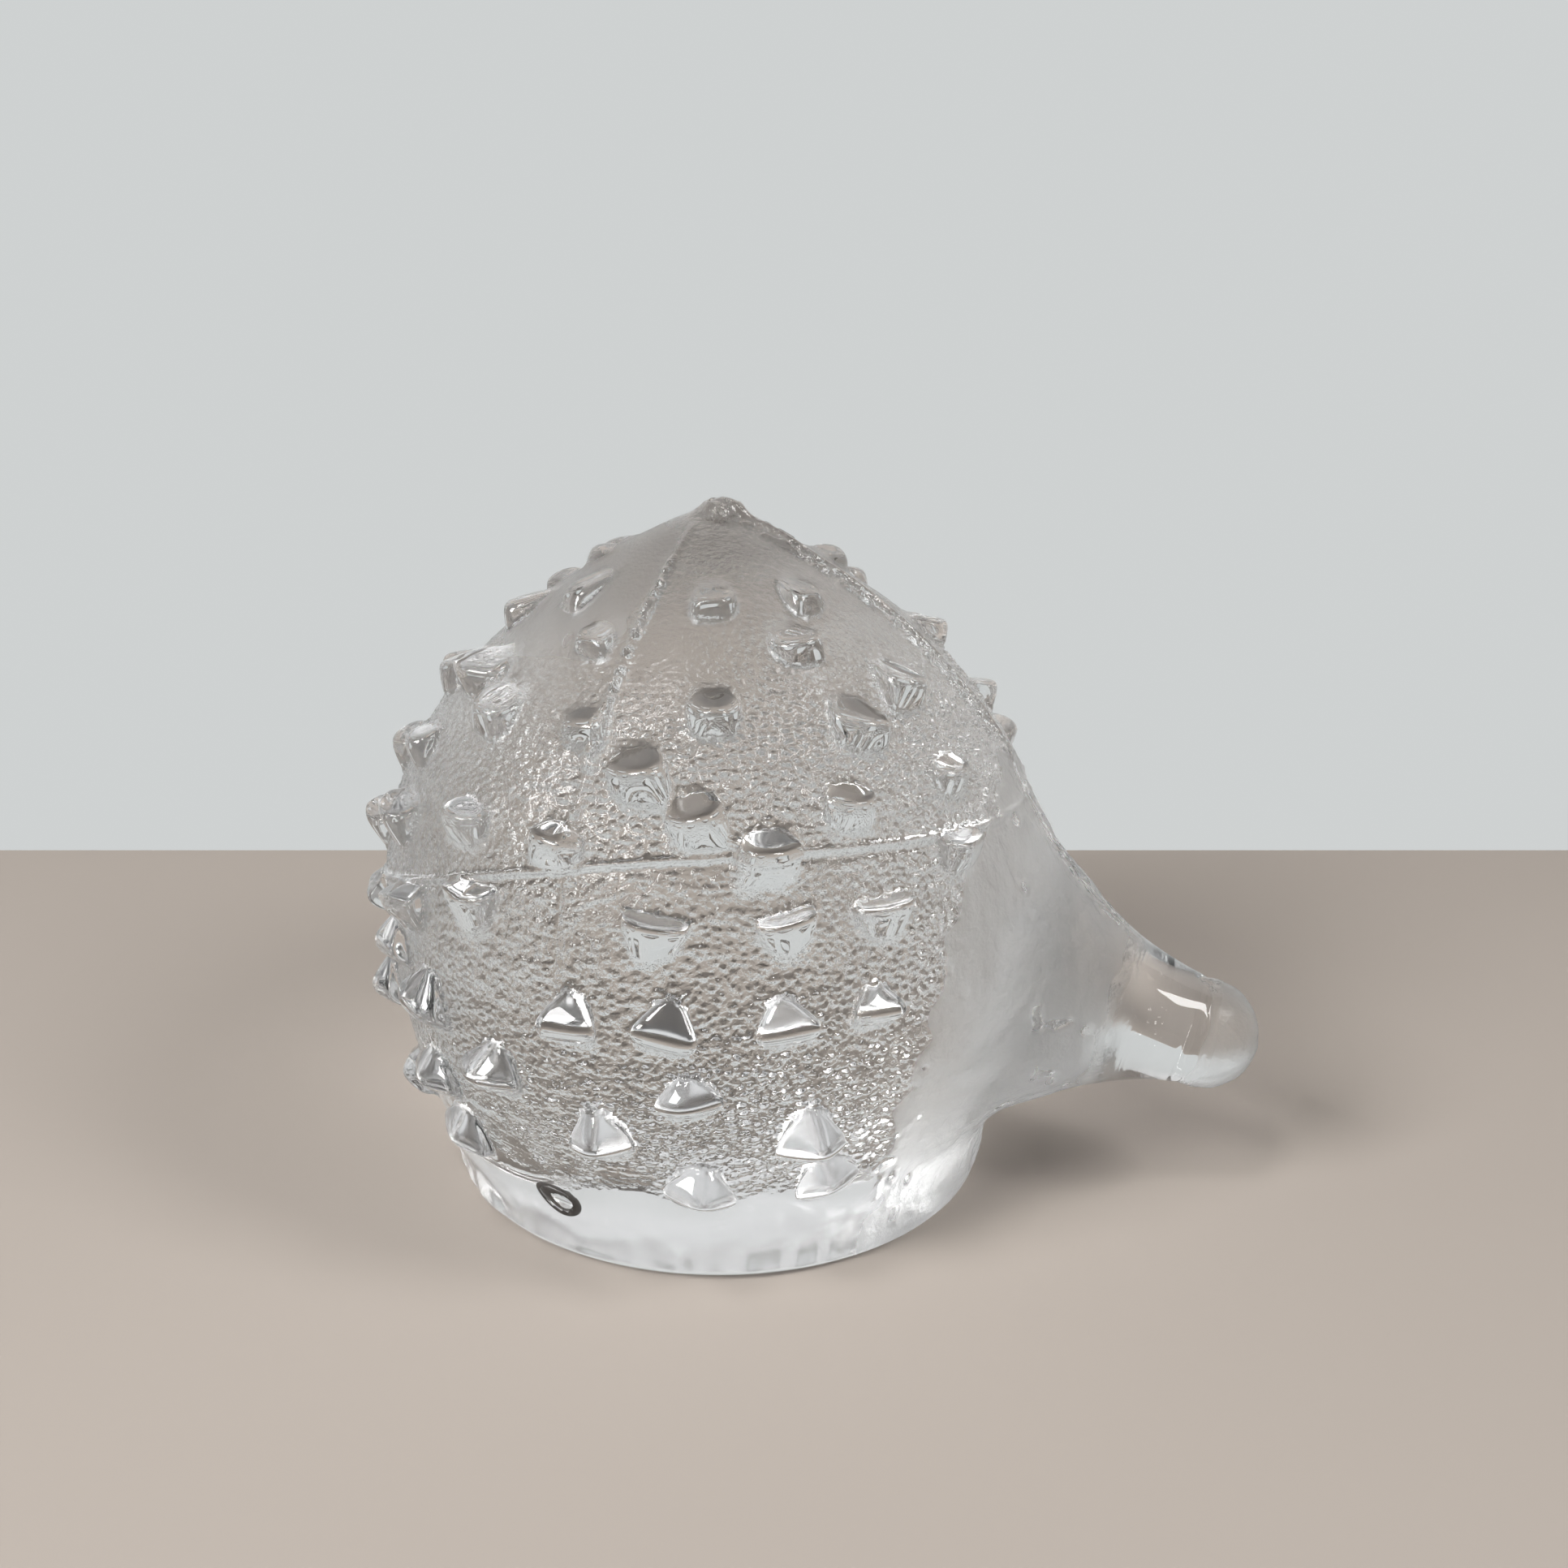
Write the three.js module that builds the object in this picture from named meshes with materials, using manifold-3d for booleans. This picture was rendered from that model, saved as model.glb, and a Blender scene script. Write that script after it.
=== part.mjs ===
// A pressed-glass hedgehog ornament: a domed, thorn-covered body on a smooth foot, with a drawn-out snout.
// Millimetres, +Z up. The origin is the middle of the foot's underside and the snout points along +X.
// The real ornament is one solid pressing, so its pieces here are the bodies that the mould's parting
// seams outline on the glass: each is a separate closed solid, one seam gap from its neighbours.

import * as THREE from 'three';
import { mergeVertices } from 'three/addons/utils/BufferGeometryUtils.js';
import { ConvexGeometry } from 'three/addons/geometries/ConvexGeometry.js';
import Module from 'manifold-3d';

const wasm = await Module();
wasm.setup();

// Foot: a smooth oval slab with a rounded lower edge
const FOOT_HALF_LENGTH = 30.8;
const FOOT_HALF_WIDTH = 28.2;
const FOOT_HEIGHT = 5;
const FOOT_EDGE_RADIUS = 1.2;

// Body: a round belly that rises to a pointed dome
const BELLY_RADIUS = 36;
const BELLY_HEIGHT = 32;
const BELLY_POWER = 1.9;
const DOME_HEIGHT = 75.8;
const DOME_POWER = 2.4;
const DOME_FULLNESS_POWER = 0.92;

// Crown: the blunt point where the three upper seams meet
const CROWN_DROP = 3.2;
const CROWN_TIP_RADIUS = 1;
const CROWN_TIP_RISE = 0.4;
const CROWN_SHIFT = 1.2;

// Head: a flared cone on a drooping axis, from the edge of the face to the middle of the round nose
const NOSE_REACH = 54.8;
const NOSE_HEIGHT = 19.6;
const NOSE_RADIUS = 6;
const HEAD_LENGTH = 29.6;
const HEAD_DROOP_DEG = 13;
const FACE_RADIUS = 24.4;
const HEAD_FLARE_POWER = 1.6;
const HEAD_ROOT_DEPTH = 4;

// Seams: the side seams stand this far round from the snout, and the parting line arches over the flank
const SIDE_SEAM_DEG = 100;
const ARCH_SHARE = 0.652;
const ARCH_CREST_X = 12;
const ARCH_CURVE_RADIUS = 88;
const SEAM_GAP = 0.3;

// Thorns: a roof that leans out to a lip, over a face that runs down into the skin
const THORN_LIP_DROP = 1.2;
const THORN_TOE_SINK = 1.4;
const THORN_FULL_RADIUS = 26;
const THORN_LEAST_SHARE = 0.75;

// Kinds of thorn by share of the dome's height: low pyramids, pointed roofs, broad level lenses, arched
// roofs and knobs. A thorn between two of these heights takes its sizes from between them. The lip's middle
// stands off the skin by the whole reach and its ends by a share of it. The root lies above the lip and
// the toe below.
const THORN_KINDS = [
  {
    share: 0.33,
    reach: 2.9,
    tiltDeg: 48,
    rootSink: 0.3,
    rootWidth: 0.6,
    lipWidth: 8.4,
    lipEndShare: 0.2,
    lipMiddle: 0.8,
    toeWidth: 3,
    faceDrop: 3.4,
  },
  {
    share: 0.475,
    reach: 2.7,
    tiltDeg: 48,
    rootSink: 0.3,
    rootWidth: 0.8,
    lipWidth: 7.2,
    lipEndShare: 0.75,
    lipMiddle: 5.2,
    toeWidth: 4.6,
    faceDrop: 3.2,
  },
  {
    share: 0.59,
    reach: 3.3,
    tiltDeg: 6,
    rootSink: 1.4,
    rootWidth: 7,
    lipWidth: 7.4,
    lipEndShare: 0.55,
    lipMiddle: 3.2,
    toeWidth: 1.4,
    faceDrop: 6.6,
  },
  {
    share: 0.68,
    reach: 3.8,
    tiltDeg: 14,
    rootSink: 0.8,
    rootWidth: 3,
    lipWidth: 7,
    lipEndShare: 0.5,
    lipMiddle: 3,
    toeWidth: 6,
    faceDrop: 4.6,
  },
  {
    share: 0.86,
    reach: 5,
    tiltDeg: 14,
    rootSink: 0.8,
    rootWidth: 3,
    lipWidth: 7,
    lipEndShare: 0.5,
    lipMiddle: 3.2,
    toeWidth: 6,
    faceDrop: 3.4,
  },
];

// Rows of thorns: share of the dome's height, and the azimuths from the snout that both flanks carry
const THORN_ROWS = [
  { level: 0.945, azimuths: [167] },
  { level: 0.925, azimuths: [34, 74, 137] },
  { level: 0.88, azimuths: [51, 112, 164] },
  { level: 0.825, azimuths: [25, 75, 142] },
  { level: 0.8, azimuths: [43, 104, 128, 162] },
  { level: 0.765, azimuths: [90, 176] },
  { level: 0.72, azimuths: [27, 51, 79, 150] },
  { level: 0.68, azimuths: [66, 101, 121, 167] },
  { level: 0.64, azimuths: [31, 143] },
  { level: 0.59, azimuths: [49, 65, 84, 117, 158] },
  { level: 0.545, azimuths: [134, 174] },
  { level: 0.475, azimuths: [51, 66, 82, 97, 140, 160] },
  { level: 0.43, azimuths: [128, 173] },
  { level: 0.37, azimuths: [80, 112, 151] },
  { level: 0.3, azimuths: [61, 95, 131, 168] },
  { level: 0.215, azimuths: [58, 78, 126, 150] },
];

// Finish of the glass
const GLASS_COLOUR = 0xdde1e0;
const SKIN_ROUGHNESS = 0.3;
const SMOOTH_ROUGHNESS = 0.06;

// Fineness of the round forms
const BODY_SEGMENTS = 48;
const BODY_STEPS = 20;
const FOOT_EDGE_STEPS = 3;
const CROWN_SEGMENTS = 16;
const HEAD_SEGMENTS = 32;
const HEAD_STEPS = 12;
const NOSE_STEPS = 5;
const ARCH_STEPS = 36;
const SECTOR_STEPS = 6;
const MERGE_TOLERANCE = 1e-4;

// What follows from the driving dimensions
const HALF_GAP = SEAM_GAP / 2;
const CLEAR = 2 * (BELLY_RADIUS + HEAD_LENGTH + DOME_HEIGHT);
const CROWN_HEIGHT = DOME_HEIGHT - CROWN_DROP;
const ARCH_HEIGHT = DOME_HEIGHT * ARCH_SHARE;
const DROOP = THREE.MathUtils.degToRad(HEAD_DROOP_DEG);

// Radius of the body's skin at a height, for a given foot radius in that direction
function skinRadius(height, footRadius) {
  if (height >= BELLY_HEIGHT) {
    const climb = Math.min(1, (height - BELLY_HEIGHT) / (DOME_HEIGHT - BELLY_HEIGHT));
    return BELLY_RADIUS * (1 - climb ** DOME_POWER) ** DOME_FULLNESS_POWER;
  }
  if (height >= FOOT_HEIGHT) {
    const fall = (BELLY_HEIGHT - height) / (BELLY_HEIGHT - FOOT_HEIGHT);
    return BELLY_RADIUS - (BELLY_RADIUS - footRadius) * fall ** BELLY_POWER;
  }
  const below = Math.max(0, FOOT_EDGE_RADIUS - height);
  return footRadius - FOOT_EDGE_RADIUS + Math.sqrt(FOOT_EDGE_RADIUS ** 2 - below ** 2);
}

// Radius of the oval foot in the direction of an azimuth
function footRadiusAt(azimuth) {
  const along = Math.cos(azimuth) / FOOT_HALF_LENGTH;
  const across = Math.sin(azimuth) / FOOT_HALF_WIDTH;
  return 1 / Math.hypot(along, across);
}

// A closed three.js geometry as a solid for joining and cutting
function solid(geometry) {
  const bare = new THREE.BufferGeometry();
  bare.setAttribute('position', geometry.getAttribute('position').clone());
  bare.setIndex(geometry.getIndex());
  const merged = mergeVertices(bare, MERGE_TOLERANCE);
  const index = merged.getIndex().array;
  const triangles = [];
  for (let i = 0; i < index.length; i += 3) {
    const [a, b, c] = [index[i], index[i + 1], index[i + 2]];
    if (a !== b && b !== c && c !== a) triangles.push(a, b, c);
  }
  return new wasm.Manifold(new wasm.Mesh({
    numProp: 3,
    vertProperties: new Float32Array(merged.getAttribute('position').array),
    triVerts: new Uint32Array(triangles),
  }));
}

// A solid as a named mesh with its own material
function piece(name, body, roughness) {
  const { vertProperties, triVerts } = body.getMesh();
  const geometry = new THREE.BufferGeometry();
  geometry.setAttribute('position', new THREE.BufferAttribute(vertProperties, 3));
  geometry.setIndex(new THREE.BufferAttribute(triVerts, 1));
  geometry.computeVertexNormals();
  const material = new THREE.MeshStandardMaterial({ color: GLASS_COLOUR, roughness, metalness: 0 });
  const mesh = new THREE.Mesh(geometry, material);
  mesh.name = name;
  return mesh;
}

// Body: turned about Z to its length profile, then narrowed to its width profile height by height
function bodyGeometry() {
  const heights = [];
  for (let i = 0; i <= FOOT_EDGE_STEPS; i += 1) heights.push(FOOT_EDGE_RADIUS * (i / FOOT_EDGE_STEPS));
  for (let i = 0; i <= BODY_STEPS; i += 1) {
    const share = Math.sin((i / BODY_STEPS) * Math.PI / 2);
    heights.push(FOOT_HEIGHT + (DOME_HEIGHT - FOOT_HEIGHT) * share);
  }
  const profile = heights.map((h) => new THREE.Vector2(skinRadius(h, FOOT_HALF_LENGTH), h));
  const outline = [new THREE.Vector2(0, 0), ...profile];
  outline[outline.length - 1].x = 0;
  const geometry = new THREE.LatheGeometry(outline, BODY_SEGMENTS).rotateX(Math.PI / 2);
  const position = geometry.getAttribute('position');
  for (let i = 0; i < position.count; i += 1) {
    const height = position.getZ(i);
    const length = skinRadius(height, FOOT_HALF_LENGTH);
    const width = skinRadius(height, FOOT_HALF_WIDTH);
    if (length > 0) position.setY(i, position.getY(i) * (width / length));
  }
  return geometry;
}

// Crown point: a small blunt cone on the dome's tip
function crownGeometry() {
  const low = DOME_HEIGHT - CROWN_DROP / 2;
  const top = DOME_HEIGHT + CROWN_TIP_RISE;
  const base = skinRadius(low, FOOT_HALF_LENGTH) - CROWN_SHIFT;
  const cone = new THREE.CylinderGeometry(CROWN_TIP_RADIUS, base, top - low, CROWN_SEGMENTS);
  return cone.rotateX(Math.PI / 2).translate(CROWN_SHIFT, 0, (top + low) / 2);
}

// Lays a form made along +X onto the head's axis, with the middle of the nose at its zero
function ontoHeadAxis(geometry) {
  return geometry.rotateY(DROOP).translate(NOSE_REACH, 0, NOSE_HEIGHT);
}

// Head: turned about its own axis, with a root inside the body, a flare and a round nose
function headGeometry() {
  const outline = [
    new THREE.Vector2(0, -HEAD_LENGTH - HEAD_ROOT_DEPTH),
    new THREE.Vector2(FACE_RADIUS - HEAD_ROOT_DEPTH, -HEAD_LENGTH - HEAD_ROOT_DEPTH),
  ];
  for (let i = 0; i < HEAD_STEPS; i += 1) {
    const left = 1 - i / HEAD_STEPS;
    const radius = NOSE_RADIUS + (FACE_RADIUS - NOSE_RADIUS) * left ** HEAD_FLARE_POWER;
    outline.push(new THREE.Vector2(radius, -HEAD_LENGTH * left));
  }
  for (let i = 0; i < NOSE_STEPS; i += 1) {
    const turn = (i / NOSE_STEPS) * Math.PI / 2;
    outline.push(new THREE.Vector2(NOSE_RADIUS * Math.cos(turn), NOSE_RADIUS * Math.sin(turn)));
  }
  outline.push(new THREE.Vector2(0, NOSE_RADIUS));
  return ontoHeadAxis(new THREE.LatheGeometry(outline, HEAD_SEGMENTS).rotateZ(-Math.PI / 2));
}

// Height of the parting line at a place along the body
function archHeightAt(x) {
  const centre = ARCH_HEIGHT - ARCH_CURVE_RADIUS;
  return centre + Math.sqrt(ARCH_CURVE_RADIUS ** 2 - (x - ARCH_CREST_X) ** 2);
}

// Sizes of a thorn at a share of the dome's height
function thornKindAt(share) {
  const last = THORN_KINDS.length - 1;
  const above = THORN_KINDS.findIndex((kind) => kind.share >= share);
  const upper = above < 0 ? last : Math.max(1, above);
  const [low, high] = [THORN_KINDS[upper - 1], THORN_KINDS[upper]];
  const climb = THREE.MathUtils.clamp((share - low.share) / (high.share - low.share), 0, 1);
  const kind = {};
  for (const name of Object.keys(low)) kind[name] = THREE.MathUtils.lerp(low[name], high[name], climb);
  return kind;
}

// One thorn: the hull of its roof's root, its lip's ends and middle, and its toe.
// It belongs to the block of the coat that its lip lies in.
function makeThorn(degrees, height) {
  const azimuth = THREE.MathUtils.degToRad(degrees);
  const footRadius = footRadiusAt(azimuth);
  const skin = (level) => skinRadius(level, footRadius);
  const size = THREE.MathUtils.lerp(THORN_LEAST_SHARE, 1, Math.min(1, skin(height) / THORN_FULL_RADIUS));
  const kind = thornKindAt(height / DOME_HEIGHT);
  const reach = size * kind.reach;
  const rise = (reach + kind.rootSink) * Math.tan(THREE.MathUtils.degToRad(kind.tiltDeg));
  const rootLevel = height + rise / 2;
  const lipLevel = height - rise / 2;
  const lipFoot = lipLevel - size * THORN_LIP_DROP;
  const toeLevel = lipFoot - size * kind.faceDrop;
  const lipRadius = skin(height) + reach;

  const points = [];
  const put = (level, radius, width) => {
    for (const across of [-size * width / 2, size * width / 2]) {
      const x = radius * Math.cos(azimuth) - across * Math.sin(azimuth);
      const y = radius * Math.sin(azimuth) + across * Math.cos(azimuth);
      points.push(new THREE.Vector3(x, y, level));
    }
  };
  put(rootLevel, skin(rootLevel) - kind.rootSink, kind.rootWidth);
  for (const level of [lipLevel, lipFoot]) {
    put(level, skin(height) + reach * kind.lipEndShare, kind.lipWidth);
    put(level, lipRadius, kind.lipMiddle);
  }
  put(toeLevel, skin(toeLevel) - THORN_TOE_SINK, kind.toeWidth);
  const side = degrees > 0 ? 'left' : 'right';
  return {
    body: solid(new ConvexGeometry(points)),
    band: lipFoot > archHeightAt(lipRadius * Math.cos(azimuth)) ? 'upper' : 'lower',
    sector: Math.abs(degrees) > SIDE_SEAM_DEG ? 'rear' : side,
  };
}

// Zones that the seams outline. Each can be grown by a small margin to leave the seam gap.
function boxZone(min, max) {
  const size = new THREE.Vector3().subVectors(max, min);
  const middle = new THREE.Vector3().addVectors(min, max).multiplyScalar(0.5);
  const box = new THREE.BoxGeometry(size.x, size.y, size.z);
  return box.translate(middle.x, middle.y, middle.z);
}

function footZone(grow) {
  const top = FOOT_HEIGHT + grow;
  return solid(boxZone(new THREE.Vector3(-CLEAR, -CLEAR, -CLEAR), new THREE.Vector3(CLEAR, CLEAR, top)));
}

function crownZone(grow) {
  const low = CROWN_HEIGHT - grow;
  return solid(boxZone(new THREE.Vector3(-CLEAR, -CLEAR, low), new THREE.Vector3(CLEAR, CLEAR, CLEAR)));
}

// Everything in front of a plane across the head's axis, at a distance from the middle of the nose
function frontZone(distance, grow) {
  const block = new THREE.BoxGeometry(CLEAR, CLEAR, CLEAR).translate(CLEAR / 2 + distance - grow, 0, 0);
  return solid(ontoHeadAxis(block));
}

// Lower half: below the arched parting line, which is a circular arc seen from the side
function lowerZone(grow) {
  const radius = ARCH_CURVE_RADIUS + grow;
  const outline = new THREE.Shape();
  const centre = ARCH_HEIGHT - ARCH_CURVE_RADIUS;
  for (let i = 0; i <= ARCH_STEPS; i += 1) {
    const turn = Math.PI * (i / ARCH_STEPS);
    const x = ARCH_CREST_X + radius * Math.cos(turn);
    const z = centre + radius * Math.sin(turn);
    if (i === 0) outline.moveTo(x, z);
    else outline.lineTo(x, z);
  }
  const hill = new THREE.ExtrudeGeometry(outline, { depth: 2 * CLEAR, bevelEnabled: false });
  hill.rotateX(Math.PI / 2).translate(0, CLEAR, 0);
  return solid(hill);
}

// Sector between two azimuths, seen from above
function sectorZone(fromDeg, toDeg, grow) {
  const from = THREE.MathUtils.degToRad(fromDeg);
  const to = THREE.MathUtils.degToRad(toDeg);
  const middle = (from + to) / 2;
  const back = grow / Math.sin((to - from) / 2);
  const outline = new THREE.Shape();
  outline.moveTo(-back * Math.cos(middle), -back * Math.sin(middle));
  for (let i = 0; i <= SECTOR_STEPS; i += 1) {
    const turn = from + (to - from) * (i / SECTOR_STEPS);
    outline.lineTo(
      CLEAR * Math.cos(turn) - back * Math.cos(middle),
      CLEAR * Math.sin(turn) - back * Math.sin(middle),
    );
  }
  const slab = new THREE.ExtrudeGeometry(outline, { depth: 2 * CLEAR, bevelEnabled: false });
  return solid(slab.translate(0, 0, -CLEAR));
}

// The bare pressing, and its thorns on both flanks
const bare = solid(bodyGeometry()).add(solid(crownGeometry())).add(solid(headGeometry()));
const thorns = [];
for (const { level, azimuths } of THORN_ROWS) {
  for (const degrees of azimuths) {
    thorns.push(makeThorn(degrees, level * DOME_HEIGHT), makeThorn(-degrees, level * DOME_HEIGHT));
  }
}

// Foot, crown point and head
const aboveFoot = bare.subtract(footZone(HALF_GAP));
const face = aboveFoot.intersect(frontZone(-HEAD_LENGTH, -HALF_GAP));
const muzzle = face.subtract(frontZone(0, HALF_GAP));
const trunk = aboveFoot.subtract(frontZone(-HEAD_LENGTH, HALF_GAP));

const foot = piece('foot', bare.intersect(footZone(-HALF_GAP)), SMOOTH_ROUGHNESS);
const crownPoint = piece('crown_point', trunk.intersect(crownZone(-HALF_GAP)), SMOOTH_ROUGHNESS);
const head = new THREE.Group();
head.add(piece('head_left', muzzle.intersect(sectorZone(0, 180, -HALF_GAP)), SMOOTH_ROUGHNESS));
head.add(piece('head_right', muzzle.intersect(sectorZone(-180, 0, -HALF_GAP)), SMOOTH_ROUGHNESS));
head.add(piece('nose_tip', face.intersect(frontZone(0, -HALF_GAP)), SMOOTH_ROUGHNESS));

// Coat: six blocks, each with the thorns that belong to it, cut along the seams round it
const neighbours = [footZone(HALF_GAP), crownZone(HALF_GAP), frontZone(-HEAD_LENGTH, HALF_GAP)];
const bands = {
  upper: (body) => body.subtract(lowerZone(HALF_GAP)),
  lower: (body) => body.intersect(lowerZone(-HALF_GAP)),
};
const sectors = {
  left: sectorZone(0, SIDE_SEAM_DEG, -HALF_GAP),
  right: sectorZone(-SIDE_SEAM_DEG, 0, -HALF_GAP),
  rear: sectorZone(SIDE_SEAM_DEG, 360 - SIDE_SEAM_DEG, -HALF_GAP),
};

function coatBlock(name, band, sector) {
  let block = bare;
  for (const thorn of thorns) {
    if (thorn.band === band && thorn.sector === sector) block = block.add(thorn.body);
  }
  for (const zone of neighbours) block = block.subtract(zone);
  return piece(name, bands[band](block).intersect(sectors[sector]), SKIN_ROUGHNESS);
}

const coat = new THREE.Group();
coat.add(coatBlock('upper_left_flank', 'upper', 'left'));
coat.add(coatBlock('upper_right_flank', 'upper', 'right'));
coat.add(coatBlock('upper_back', 'upper', 'rear'));
coat.add(coatBlock('lower_left_flank', 'lower', 'left'));
coat.add(coatBlock('lower_right_flank', 'lower', 'right'));
coat.add(coatBlock('rump', 'lower', 'rear'));

const hedgehog = new THREE.Group();
hedgehog.add(foot, coat, crownPoint, head);

export default hedgehog;
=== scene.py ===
"""Looks of the pressed-glass hedgehog: one continuous body of clear glass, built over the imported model.

The glass is shaped in millimetres, in the frame's own axes: +X along the snout, +Z up, with the origin in
the middle of the foot's underside. The finished mesh is scaled to metres, and the camera, the stage and the
lamps are placed in metres.
"""

import math
from collections import namedtuple
from types import SimpleNamespace

import bmesh
import bpy
import numpy as np
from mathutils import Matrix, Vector


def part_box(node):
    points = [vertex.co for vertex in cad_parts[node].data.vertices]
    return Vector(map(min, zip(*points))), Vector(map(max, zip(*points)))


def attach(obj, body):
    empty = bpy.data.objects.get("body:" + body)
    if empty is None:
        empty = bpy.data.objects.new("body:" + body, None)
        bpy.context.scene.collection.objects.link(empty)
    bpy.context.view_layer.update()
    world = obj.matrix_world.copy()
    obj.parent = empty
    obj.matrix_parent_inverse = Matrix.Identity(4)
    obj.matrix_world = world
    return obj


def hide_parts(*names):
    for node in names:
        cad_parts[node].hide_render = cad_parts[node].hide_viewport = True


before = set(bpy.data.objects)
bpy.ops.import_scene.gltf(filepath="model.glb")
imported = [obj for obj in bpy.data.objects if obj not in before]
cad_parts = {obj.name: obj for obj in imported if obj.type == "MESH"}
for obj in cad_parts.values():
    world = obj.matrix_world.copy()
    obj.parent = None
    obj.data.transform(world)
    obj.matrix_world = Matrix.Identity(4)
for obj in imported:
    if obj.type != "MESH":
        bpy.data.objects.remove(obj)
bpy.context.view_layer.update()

MM = 0.001

# Sizes that the frame gives
FOOT_HALF_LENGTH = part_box("foot")[1].x / MM
CROWN_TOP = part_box("crown_point")[1].z / MM
NOSE_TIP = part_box("nose_tip")[1].x / MM

# Body: a round belly on an oval foot that rises to a pointed dome
FOOT_HALF_WIDTH = 28.2
FOOT_HEIGHT = 5.0
FOOT_EDGE_RADIUS = 1.2
BELLY_RADIUS = 36.0
BELLY_HEIGHT = 32.0
BELLY_POWER = 1.9
DOME_HEIGHT = CROWN_TOP - 0.4
DOME_POWER = 2.4
DOME_FULLNESS_POWER = 0.92
FOOT_BLEND = 9.0
CROWN_SHIFT = 1.2
CROWN_BALL_RADIUS = 1.4
CROWN_BLEND = 2.4
APEX_ROUNDING = 2.0

# Head: a flared cone on a drooping axis that ends in a round nose
NOSE_RADIUS = 6.0
NOSE_HEIGHT = 19.6
NOSE_REACH = NOSE_TIP - NOSE_RADIUS
HEAD_LENGTH = 29.6
HEAD_DROOP = math.radians(13.0)
FACE_RADIUS = 24.4
HEAD_FLARE_POWER = 1.6
HEAD_FLARE_EASE = 0.15
HEAD_BLEND = 3.0

# Thorns: a roof that leans out to a lip, over a face that runs down into the skin. Their kinds, at these
# shares of the dome's height: low pyramids, pointed roofs, broad level lenses, arched roofs and knobs.
# Tilts are in degrees, and a higher sharpness leaves crisper edges.
THORN_KINDS = {
    "share": (0.33, 0.475, 0.59, 0.68, 0.86),
    "reach": (2.9, 2.7, 3.3, 4.1, 5.6),
    "tilt": (48.0, 48.0, 6.0, 14.0, 14.0),
    "root_sink": (0.3, 0.3, 1.4, 0.8, 0.8),
    "root_width": (0.6, 0.8, 7.0, 3.0, 3.0),
    "lip_width": (8.4, 7.2, 7.4, 7.0, 7.0),
    "lip_end": (0.2, 0.75, 0.55, 0.5, 0.5),
    "lip_middle": (0.8, 5.2, 3.2, 3.0, 3.2),
    "toe_width": (3.0, 4.6, 1.4, 6.0, 6.0),
    "face_drop": (3.4, 3.2, 6.6, 4.6, 3.4),
    "sharpness": (3.2, 3.2, 2.8, 2.5, 2.4),
}
THORN_LIP_DROP = 1.2
THORN_TOE_SINK = 1.4
THORN_FULL_RADIUS = 26.0
THORN_LEAST_SHARE = 0.75
THORN_FILLET = 0.6
THORN_NEAR = 10.0

# How far single thorns stray from their kind: size and reach as shares, angles in degrees, lean as a length
SIZE_SCATTER = 0.1
REACH_SCATTER = 0.14
TWIST_SCATTER = 14.0
TILT_SCATTER = 7.0
LEAN_SCATTER = 0.9

# Rows of thorns: share of the dome's height, and the azimuths from the snout that both flanks carry
THORN_ROWS = [
    (0.945, (167,)),
    (0.925, (34, 74, 137)),
    (0.88, (51, 112, 164)),
    (0.825, (25, 75, 142)),
    (0.8, (43, 104, 128, 162)),
    (0.765, (90, 176)),
    (0.72, (27, 51, 79, 150)),
    (0.68, (66, 101, 121, 167)),
    (0.64, (31, 143)),
    (0.59, (49, 65, 84, 117, 158)),
    (0.545, (134, 174)),
    (0.475, (51, 66, 82, 97, 140, 160)),
    (0.43, (128, 173)),
    (0.37, (80, 112, 151)),
    (0.3, (61, 95, 131, 168)),
    (0.215, (58, 78, 126, 150)),
]

# Seams left by the mould: a fin between two rows of beads along the crest, a beaded line up each side, and an
# arched parting ridge with a groove under it
SIDE_SEAM = math.radians(100.0)
SEAM_WIDTH = 0.42
FIN_HEIGHT = 0.9
CREST_BEAD_HEIGHT = 0.7
CREST_BEAD_WIDTH = 0.6
CREST_BEAD_OFFSET = 1.2
CREST_HALF_ANGLE = 1.2
SIDE_BEAD_HEIGHT = 0.8
SIDE_LINE_HEIGHT = 0.2
BEAD_MEAN = 0.5
BEAD_LEAST = 0.05
ARCH_HEIGHT = 0.652 * DOME_HEIGHT
ARCH_CREST_X = 12.0
ARCH_CURVE_RADIUS = 88.0
ARCH_RIDGE_HEIGHT = 0.42
ARCH_RIDGE_WIDTH = 0.26
ARCH_GROOVE_DEPTH = 0.25
ARCH_GROOVE_WIDTH = 0.3
ARCH_GROOVE_DROP = 0.7
SEAM_SHARE_ON_THORNS = 0.25
SEAM_SHARE_ON_HEAD = 0.4

# Zones of the surface: where each starts, where it is full, and how ragged its edge is
Zone = namedtuple("Zone", "start full raggedness", defaults=(0.0,))
# By height
CROWN = Zone(DOME_HEIGHT - 2.5, DOME_HEIGHT - 1.2)
UPPER_COAT = Zone(55.0, 67.0, 2.0)
ABOVE_FOOT = Zone(10.0, 20.0, 3.0)
ABOVE_FLUTES = Zone(3.0, 6.5)
ABOVE_FOOT_EDGE = Zone(0.2, 1.6)
ABOVE_UNDERSIDE = Zone(0.05, 0.5)
CREST_HEIGHTS = Zone(24.0, 30.0)
SIDE_LINE = Zone(30.0, 38.0)
SIDE_BEADS = Zone(44.0, 52.0)
ABOVE_SIDE_BEADS = Zone(69.5, 72.0)
# By place along the head's axis, from the middle of the nose
HEAD = Zone(-HEAD_LENGTH - 0.8, -HEAD_LENGTH + 1.6, 1.0)
FACE = Zone(-7.0, -15.0, 1.0)
NOSE = Zone(-0.5, 1.0, 0.6)
BEHIND_NOSE = Zone(-9.0, -14.0)
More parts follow.
